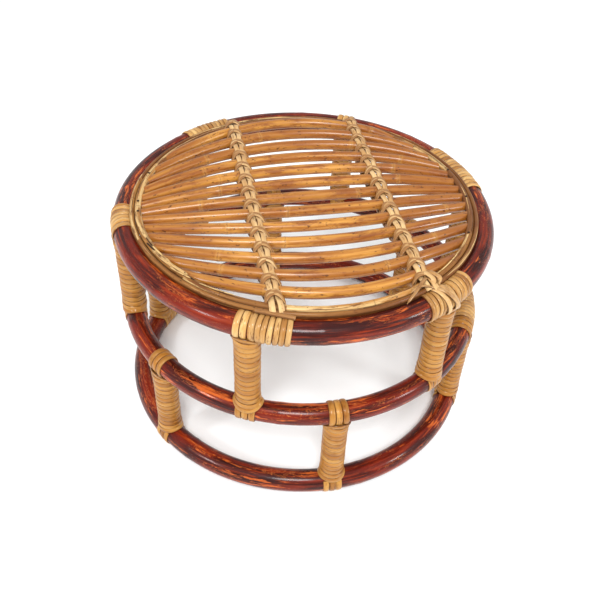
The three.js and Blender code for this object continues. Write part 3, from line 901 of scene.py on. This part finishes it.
# How a tie runs on round the ring: the turns in degrees, those about the ring, and the lift.
ring_runs = [
    (299, 302, 112, -60, 0.003), (301.5, 305, 112, -60, 0.0034), (299.5, 306.5, 108, -60, 0.004),
]
tie_widths = [0.006, 0.006, 0.005, 0.0044]
tie_tints = [0.3, 0.5, 0.6, 0.7]


def smooth_line(corners, steps):
    """An evenly divided line that rounds off these corners."""
    line = np.array(corners, float)
    for _ in range(corner_cuts):
        cut = np.empty((2 * len(line) - 2, 3))
        cut[0::2] = (1 - cut_share) * line[:-1] + cut_share * line[1:]
        cut[1::2] = cut_share * line[:-1] + (1 - cut_share) * line[1:]
        line = np.vstack([line[:1], cut, line[-1:]])
    distance = running_length(line)
    even = np.linspace(0, distance[-1], steps + 1)
    return np.column_stack([np.interp(even, distance, line[:, i]) for i in range(3)])


def cane_crossings(x):
    """Where the seat canes cross a bar, from the front one to the back one."""
    return sorted(np.interp(x, line[:, 0], line[:, 1]) for line in seat_lines)


def chord(reach, x):
    return sqrt(reach ** 2 - x ** 2)


def lashing_gaps(bar):
    """The free stretches along a bar: rim to front cane, cane to cane, and back cane to rim."""
    crossings = cane_crossings(bar["x"])
    rim = chord(seat_trim, bar["x"])
    starts = [-rim, *(y + seat_radius for y in crossings)]
    ends = [*(y - seat_radius for y in crossings), rim]
    return list(zip(starts, ends))


def rim_drop(turn):
    """How much lower than at the front the rim canes lie."""
    return rim_dip * (1 + np.sin(turn)) / 2


def runner_line(bar, offset, tint):
    """A strip that arches over each seat cane, sinks between them and ends beyond the rim."""
    crossings = cane_crossings(bar["x"])
    first, last = crossings[0], crossings[-1]
    rim = chord(rim_middle, bar["x"])
    end = chord(ring_radius - runner_end_inset, bar["x"])
    ys = np.arange(-end, end, runner_step)
    over = cane_top + runner_gap
    back = rim_top - rim_drop(pi / 2)
    height = np.interp(
        ys,
        [-end, -rim, first, last, rim, end],
        [rim_top - runner_tuck, rim_top + rim_gap, over, over, back, back - runner_tuck],
    )
    squeeze = np.ones(len(ys))
    for start, stop in lashing_gaps(bar):
        reach = runner_dip_share * (stop - start) + runner_dip_reach
        near = np.exp(-(((ys - (start + stop) / 2) / reach) ** 2))
        height -= runner_dip * near
        squeeze -= runner_pinch_share * near
    lift = seat_radius + runner_gap
    for crossing in crossings:
        away = np.abs(ys - crossing)
        skin = cane_top - seat_radius + np.sqrt(np.clip(lift ** 2 - away ** 2, 0, None))
        height = np.where(away < lift, np.maximum(height, skin), height)
        sway = runner_sway_share * (ys - crossing) / seat_radius
        squeeze += sway * np.exp(-((away / seat_radius) ** 4))
    past = np.clip(np.maximum(first - ys, ys - last) / runner_end_reach, 0, 1)
    x = bar["x"] + offset * squeeze + np.sign(offset) * runner_end_spread * past
    x += bar["swerve"] * np.clip((first - ys) / swerve_reach, 0, 1) ** 2
    slope = np.gradient(height, ys)
    tilt = runner_tilt_share * np.sign(offset) * np.ones(len(ys))
    outs = unit(np.column_stack([tilt, -slope, np.ones(len(ys))]))
    points = np.column_stack([x, ys, height])
    girth = 1 + runner_end_growth_share * past
    return strip(
        points, outs, tint, runner_width, runner_thickness, flat_strip_shares, girth,
    )


def loop_line(bar, gap, shift, wide, tint):
    """A loop that slants round the runners and the bar. Where wide is below 0, it slants the
    other way."""
    start, stop = gap
    middle, room = (start + stop) / 2, (stop - start) / 2
    bottom = bar["z"] - bar["radius"]
    corners = []
    for x, y, z in loop_corner_shares:
        x += chance.uniform(-loop_jitter, loop_jitter)
        y += chance.uniform(-loop_jitter, loop_jitter)
        corners.append((
            bar["x"] + x * bar["radius"] * wide,
            middle + (y + shift) * room,
            bottom + z * (cane_top - bottom),
        ))
    points = smooth_line(corners, loop_steps)
    centre = np.array([bar["x"], 0, (bottom + cane_top) / 2])
    outs = unit((points - centre) * [1, 0, 1])
    width = loop_width * chance.uniform(*loop_width_shares)
    return strip(points, outs, tint, width, loop_thickness, flat_strip_shares)


def lashing_lines(bar):
    for side, tint in zip((-1, 1), runner_tints):
        yield runner_line(bar, side * runner_spread, tint)
    for gap in lashing_gaps(bar):
        for choice, wide, tint in loop_choices:
            shift = choice + chance.uniform(-loop_shift_jitter, loop_shift_jitter)
            yield loop_line(bar, gap, shift, wide, tint)


def flat_strip(corners, width, tint, thickness=tie_thickness):
    """A strip that lies flat along these corners, and on the top ring where it reaches that."""
    line = smooth_line(corners, tie_steps)
    taper = np.clip(tie_growth * np.linspace(0, 1, tie_steps + 1), tie_point_share, 1)
    reach, spokes = reach_and_spokes(line)
    from_ring = unit(line - ring_radius * spokes - [0, 0, rings["top_ring"]["height"]])
    share = np.clip((reach - tie_lean_start) / tie_lean_reach, 0, 1)[:, None]
    outs = unit((1 - share) * [0, 0, 1] + share * from_ring)
    return strip(line, outs, tint, width, thickness, round_strip_shares, taper)


def round_ring(start, stop, above, below, lift):
    """Corners on the top ring's wraps, from its inner side over to its outer side."""
    turns = np.radians(np.linspace(start, stop, ring_tie_steps))
    tube_turns = np.radians(np.linspace(above, below, ring_tie_steps))
    points, _ = on_ring(rings["top_ring"], turns, tube_turns, lift)
    return [tuple(point) for point in points]


def turned_corners(corners):
    return [
        (reach * cos(radians(turn)), reach * sin(radians(turn)), height)
        for turn, reach, height in corners
    ]


def rim_ties():
    """Strips that hold the front ends: one laid along the top ring over the left lashing, and
    four that run from the right lashing over the rim and round the ring."""
    left_corners = turned_corners(left_tie_corners)
    left = flat_strip(left_corners, left_tie_width, 1, left_tie_thickness)
    bar_x = bars["right"]["x"]
    rim = chord(seat_trim, bar_x)
    starts = [
        *([(bar_x + x, y - rim, z) for x, y, z in corners] for corners in bar_tie_corners),
        turned_corners(rim_tie_corners),
    ]
    lines = [start + round_ring(*run) for start, run in zip(starts, ring_runs)]
    lines.append(turned_corners(cross_tie_corners))
    right = [flat_strip(*tie) for tie in zip(lines, tie_widths, tie_tints)]
    return {"left": [left], "right": right}


seat_strip = cane_strip(
    "seat_strip", paint(140, 92, 48), paint(190, 146, 92), paint(220, 184, 130), 0.8,
)
ties = rim_ties()
for side, bar in bars.items():
    bar["swerve"] = swerves[side]
    lashing = lay_all(f"seat_lashing_strips_{side}", [*lashing_lines(bar), *ties[side]])
    wear(lashing, seat_strip, f"seat_lashing_{side}", slot="cane_strip")


# The rim canes
# Two thin canes, split and bent round inside the top ring. The outer one lies on the wraps, and
# the inner one covers the seat canes' ends. On the left the inner one has cracked open.

rim_sides = 20
rim_steps_per_degree = 1.2
rim_half_widths = {"outer": 0.0029, "inner": 0.0041}
rim_reaches = {"outer": 0.1985, "inner": 0.1916}
rim_tops = {"outer": -0.0012, "inner": 0.0006}
rim_bottoms = {"outer": -0.0032, "inner": 0}
rim_stretches = {
    "outer": [(158, 196, 0.4), (194, 276, 0.75), (274, 520, 0.9)],
    "inner": [
        (150, 181, 0.3), (179, 222, 0.5), (220, 254, 0.75), (252, 298, 0.15), (296, 332, 0.7),
        (330, 373, 1), (371, 399, 0.3), (397, 512, 0.8),
    ],
}
rim_knot_spacing = 0.12
rim_swell = 0.06
rim_jitter = 0.0004
rim_wander = 0.0004
rim_wander_pace = 3
rim_wander_lane_share = 900
# A splint's start and end in degrees, its shift outwards, its width and its tint.
# Splints with this tint are strips of painted shade, lying in the slots that torn splints have left.
painted_slot_shade = 2
splints = [
    (184, 197, 0.0014, 0.0032, -0.4), (190, 201.5, -0.001, 0.003, -0.6),
    (186, 204, 0.0003, 0.0012, painted_slot_shade), (199, 204, 0.0016, 0.0018, painted_slot_shade),
    (203.5, 215, 0.0016, 0.003, -0.6), (202, 212, -0.0012, 0.0022, -0.4),
    (205, 218, 0.0002, 0.0012, painted_slot_shade), (208, 220.5, -0.0006, 0.0034, -0.6),
    (214, 222.5, 0.0018, 0.0022, -0.4), (216, 224, 0.0008, 0.001, painted_slot_shade),
    (226, 238, 0.0006, 0.0009, -0.6), (304, 329, -0.0006, 0.0014, -0.5),
]
splint_points = 30
splint_thickness = 0.0011
splint_drift = 0.0009
splint_gap = 0.0004
splint_lifts = (0.0004, 0.001)
slot_lift = 0.0001
rim_crown = 110
splint_fullness_share = 1.3
splint_jitter_share = 0.2
splint_point_share = 0.3


def rim_stretch(side, start, end, tint):
    """One stretch of a rim cane, sawn off square at both ends."""
    low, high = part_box(f"rim_cane_{side}")
    half_width = rim_half_widths[side]
    top = high.z + rim_tops[side]
    bottom = low.z + rim_bottoms[side]
    half_height = (top - bottom) / 2
    reach = rim_reaches[side] + chance.uniform(-rim_jitter, rim_jitter)
    turns = np.radians(np.linspace(start, end, int((end - start) * rim_steps_per_degree)))
    lane = half_height * rim_wander_lane_share
    wander = wander_at([(rim_wander_pace * cos(t), rim_wander_pace * sin(t), lane) for t in turns])
    reaches = reach - rim_pull_share * rim_drop(turns) + rim_wander * wander
    points = reaches[:, None] * spokes_at(turns)
    points[:, 2] = (top + bottom) / 2 - rim_drop(turns) + rim_wander * wander
    knots = knot_places(reach * radians(end - start), rim_knot_spacing)
    girth = knot_girth(points, knots, rim_swell, fine_knot_width)
    outline = round_outline(rim_sides, half_width, half_height)
    return dict(
        points=points, outwards=up, outline=outline, girth=girth, knots=knots, tint=tint,
    )


def splint(start, end, shift, width, tint):
    """A thin torn length of the inner rim cane, or a near-black strip of painted shade in the slot that
    one has left.
    """
    turns = np.radians(np.linspace(start, end, splint_points))
    drift = shift + np.linspace(splint_drift, -splint_drift, splint_points)
    drop = rim_drop(turns)
    points = (rim_reaches["inner"] - rim_pull_share * drop + drift)[:, None] * spokes_at(turns)
    lift = slot_lift if tint == painted_slot_shade else chance.uniform(*splint_lifts)
    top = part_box("rim_cane_inner")[1].z + splint_gap
    points[:, 2] = top - drop - rim_crown * drift ** 2 + lift
    jitter = chance.uniform(-splint_jitter_share, splint_jitter_share)
    fullness = splint_fullness_share - np.linspace(-1, 1, splint_points) ** 4 + jitter
    girth = np.clip(fullness, splint_point_share, 1)
    return strip(points, up, tint, width, splint_thickness, round_strip_shares, girth)


def split_cane():
    """Split cane: brown skin in some stretches and the pale inside in others, with painted shade."""
    finish = Finish(
        "split_cane", Roughness=0.42, Specular_IOR_Level=0.25, Specular_Tint=warm_gloss,
        Coat_Weight=0.15, Coat_Roughness=0.2,
    )
    fibres = finish.grain(24, 1300, 4, 0.6)
    broad = finish.combine("ADD", finish.grain(16, 240, 4, 0.6), finish.value_of("tint"))
    skin = finish.marks(paint(186, 132, 68), paint(110, 66, 30), broad, 0.4, 1.6)
    bar = finish.combine("MULTIPLY", finish.value_of("tint"), 0.25)
    pale_share = finish.combine("SUBTRACT", finish.grain(7, 300, 3, 0.5), bar)
    inside = finish.marks(paint(212, 178, 122), paint(172, 128, 74), fibres, 0.4, 0.7)
    face = finish.marks(skin, inside, pale_share, 0.38, 0.42)
    stained = finish.marks(face, paint(104, 58, 26), (45, 240, 5, 0.7), 0.5, 0.63, 0.9)
    # Thin grooves along the fibres: the relief below sinks them, and painted shade darkens them.
    slots = finish.spread(finish.grain(9, 620, 3, 0.6), 0.62, 0.67, 0.85)
    slotted = finish.blend(slots, stained, paint(60, 32, 14))
    specked = finish.marks(slotted, paint(64, 34, 16), (240, 500, 2), 0.66, 0.71, 0.8)
    line = finish.combine("MULTIPLY", finish.near_knot(0.0009), finish.grain(90, 400, 2))
    ringed = finish.blend(line, specked, paint(70, 38, 20))
    # Painted shade: each rim cane darkens along both sides, where it meets its neighbour and the ring.
    shaded = finish.marks(ringed, paint(70, 38, 18), finish.value_of("edge"), 0.86, 1.0, 0.8)
    # Painted shade: a tint above 1.4, which only the slot strips have, makes them near black.
    finish.colour(finish.marks(shaded, paint(40, 20, 10), finish.value_of("tint"), 1.4, 1.8))
    finish.relief(finish.combine("ADD", fibres, finish.combine("MULTIPLY", slots, -2.0)), 0.00025)
    return finish.material


split = split_cane()
for side, stretches in rim_stretches.items():
    lines = [rim_stretch(side, *stretch) for stretch in stretches]
    if side == "inner":
        lines += [splint(*sizes) for sizes in splints]
    rim = lay_all(f"rim_cane_round_{side}", lines)
    wear(rim, split, f"rim_cane_{side}", slot="split_cane")


# The nails
# Short dark iron nails through the inner rim cane. Each has a flat, slightly domed head.

nail_count = 6
nail_sides = 20
nail_head_height = 0.0008
nail_edge = 0.0002
nail_shank_share = 0.5
nail_point_share = 0.15
nail_point_height = 0.0015
nail_under_share = 0.9
nail_face_share = 0.75
nail_smooth_angle = radians(40)


def dark_iron():
    finish = Finish("nail_iron", Roughness=0.55, Metallic=0.8)
    place = finish.add("ShaderNodeTexCoord").outputs["Object"]
    rust = finish.add("ShaderNodeTexNoise", Vector=place, Scale=900.0, Detail=3.0).outputs["Fac"]
    finish.colour(finish.marks(paint(52, 44, 40), paint(96, 60, 38), rust, 0.4, 0.65))
    finish.relief(rust, 0.0001)
    return finish.material


def drawn_nail(name, place, head_radius, tip, top):
    """A nail drawn up from its point: the shank, then a head with rounded edges."""
    neck = top - nail_head_height
    stages = [
        (tip + nail_point_height, nail_shank_share), (neck, nail_shank_share),
        (neck, nail_under_share), (neck + nail_edge, 1), (top - nail_edge, 1),
        (top, nail_face_share),
    ]
    bpy.ops.mesh.primitive_circle_add(
        vertices=nail_sides, radius=nail_point_share * head_radius, fill_type="NGON",
        location=(place.x, place.y, tip),
    )
    nail = bpy.context.object
    nail.name = name
    bpy.ops.object.transform_apply()
    bpy.ops.object.mode_set(mode="EDIT")
    bpy.ops.mesh.select_all(action="SELECT")
    height, share = tip, nail_point_share
    for next_height, next_share in stages:
        rise = (0, 0, next_height - height)
        bpy.ops.mesh.extrude_region_move(TRANSFORM_OT_translate={"value": rise})
        growth = next_share / share
        middle = (place.x, place.y, next_height)
        bpy.ops.transform.resize(value=(growth, growth, 1), center_override=middle)
        height, share = next_height, next_share
    bpy.ops.object.mode_set(mode="OBJECT")
    face_outwards()
    bpy.ops.object.shade_smooth_by_angle(angle=nail_smooth_angle)
    return nail


nail_iron = dark_iron()
for i in range(nail_count):
    low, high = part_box(f"rim_nail_{i + 1}")
    spot = Vector((low.x + high.x, low.y + high.y, 0)) / 2
    drop = float(rim_drop(atan2(spot.y, spot.x)))
    place = spot - rim_pull_share * drop * spot.normalized()
    name = f"rim_nail_round_{i + 1}"
    nail = drawn_nail(name, place, (high.x - low.x) / 2, low.z - drop, high.z - drop)
    wear(nail, nail_iron, f"rim_nail_{i + 1}", slot="nail_iron")


# The studio
# A plain pale floor, a large soft light high in front with a smaller one on either side of it,
# and the camera.

floor_size = 12
aim_height = 0.15

bpy.ops.mesh.primitive_plane_add(size=floor_size, location=(0, 0, 0))
floor = bpy.context.object
floor.name = "floor"
floor_finish = Finish("floor_paint", Roughness=0.9)
floor_finish.colour(paint(249, 252, 253))
floor.data.materials.append(floor_finish.material)
floor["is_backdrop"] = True

world = bpy.data.worlds.new("studio")
bpy.context.scene.world = world
world.use_nodes = True
glow = world.node_tree.nodes["Background"].inputs
glow["Color"].default_value = (1, 1, 1, 1)
glow["Strength"].default_value = 0.77
bpy.context.scene.view_settings.view_transform = "Standard"


def soft_light(name, place, size, power):
    bpy.ops.object.light_add(type="AREA", location=place)
    light = bpy.context.object
    light.name = name
    light.data.shape = "DISK"
    light.data.size = size
    light.data.energy = power
    aim = Vector((0, 0, aim_height)) - Vector(place)
    light.rotation_euler = aim.to_track_quat("-Z", "Y").to_euler()


soft_light("front", place=(-0.5, -2.5, 3.5), size=1.3, power=124)
soft_light("left", place=(-1.6, -0.8, 1.2), size=0.35, power=11)
soft_light("right", place=(1.4, -1.1, 1.0), size=0.35, power=10)

camera_place = Vector((-0.15998, -0.72761, 0.77852))
camera_right = Vector((0.982502, -0.182412, 0.037616))
camera_up = Vector((0.093869, 0.659408, 0.745902))
camera_back = camera_right.cross(camera_up)
bpy.ops.object.camera_add(location=camera_place)
camera = bpy.context.object
turned = Matrix((camera_right, camera_up, camera_back)).transposed()
camera.rotation_euler = turned.to_euler()
camera.data.sensor_width = 36
camera.data.lens = 46.2
bpy.context.scene.camera = camera

visual_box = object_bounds()
sizes = {"cad": [list(corner) for corner in cad_box], "visual": [list(corner) for corner in visual_box]}
